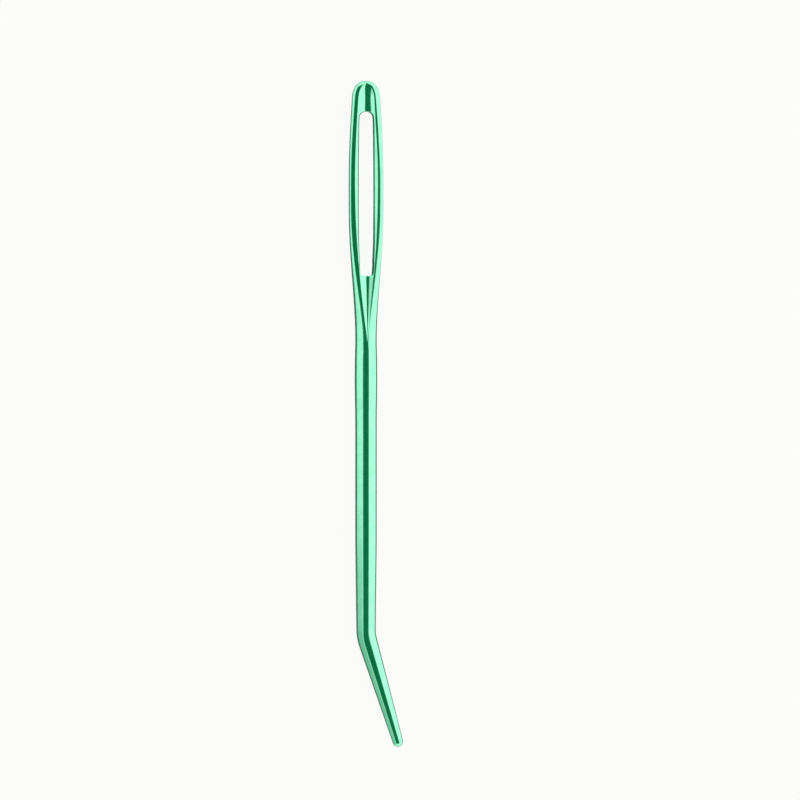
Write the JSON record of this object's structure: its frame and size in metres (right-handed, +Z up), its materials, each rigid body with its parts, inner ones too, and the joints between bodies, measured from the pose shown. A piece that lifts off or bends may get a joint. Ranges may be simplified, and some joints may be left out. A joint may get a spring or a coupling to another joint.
{
  "type": "yarn needle",
  "caption": "Green anodised aluminium yarn needle with a long open eye in a guttered, flattened head, and a tapered blunt tip bent to one side.",
  "frame": {"origin": "middle of the needle's box, at the level of the surface that it lies on", "axes": "+X across the needle, towards the side that the tip bends to; +Y along the shaft, towards the eye; +Z up, square to the flat of the head"},
  "size_m": [0.0058, 0.07, 0.0024],
  "materials": {
    "anodised_metal": "polished and green anodised"
  },
  "bodies": {
    "root": {"crown": "anodised_metal", "left_limb": "anodised_metal", "right_limb": "anodised_metal", "throat": "anodised_metal", "shaft": "anodised_metal", "bend": "anodised_metal", "tip": "anodised_metal"}
  },
  "joints": []
}
